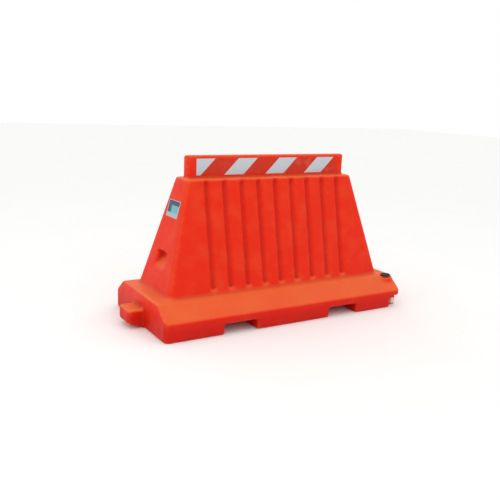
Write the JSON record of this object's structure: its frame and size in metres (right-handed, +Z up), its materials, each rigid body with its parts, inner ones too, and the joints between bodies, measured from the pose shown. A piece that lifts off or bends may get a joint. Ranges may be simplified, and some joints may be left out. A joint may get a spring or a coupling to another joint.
{
  "type": "traffic barrier",
  "caption": "Hollow moulded plastic traffic barrier on a wide ballast base, with fluted sides, a striped top rail, a tongue and socket for linking, a screw filler and a drain.",
  "frame": {"origin": "on the ground, at the middle of the base between its two end walls and its two long sides", "axes": "+X along the barrier towards the end with the socket, the filler and the drain; -X end carries the tongue; +Z up; -Y is the side with the filler and the drain"},
  "size_m": [1.594, 0.67, 0.869],
  "materials": {
    "orange_polyethylene": "satin, rotationally moulded",
    "white_sheeting": "prismatic retroreflective sheeting",
    "red_film": "transparent red film over sheeting",
    "label_vinyl": "printed vinyl sticker",
    "orange_insert": "injection moulded",
    "seal_rubber": "moulded EPDM",
    "black_polypropylene": "injection moulded",
    "natural_insert": "injection moulded",
    "pale_polyethylene": "injection moulded"
  },
  "bodies": {
    "barrier": {"shell": "orange_polyethylene", "tape_front": "white_sheeting", "tape_rear": "white_sheeting", "red_bars_front": "red_film", "red_bars_rear": "red_film", "label": "label_vinyl", "filler_neck": "orange_insert", "drain_bush": "natural_insert"},
    "filler_seal": {"filler_seal": "seal_rubber"},
    "filler_cap": {"filler_cap": "black_polypropylene"},
    "drain_seal": {"drain_seal": "seal_rubber"},
    "drain_plug": {"drain_plug": "pale_polyethylene"}
  },
  "joints": [
    {"name": "filler_cap_lift", "type": "slide", "parent": "barrier", "child": "filler_seal", "axis": [0, 0, 1], "range_m": [0, 0.0125]},
    {"name": "filler_cap_turn", "type": "hinge", "parent": "filler_seal", "child": "filler_cap", "pos_m": [0.709, -0.246, 0.169], "axis": [0, 0, 1], "range_deg": [0, 720]},
    {"name": "drain_plug_draw", "type": "slide", "parent": "barrier", "child": "drain_seal", "axis": [0, -1, 0], "range_m": [0, 0.0125]},
    {"name": "drain_plug_turn", "type": "hinge", "parent": "drain_seal", "child": "drain_plug", "pos_m": [0.726, -0.301, 0.027], "axis": [0, -1, 0], "range_deg": [0, 1440]}
  ],
  "couplings": [
    {"joint": "filler_cap_lift", "follows": "filler_cap_turn", "m_per_rad": 0.00095493},
    {"joint": "drain_plug_draw", "follows": "drain_plug_turn", "m_per_rad": 0.00047746}
  ]
}
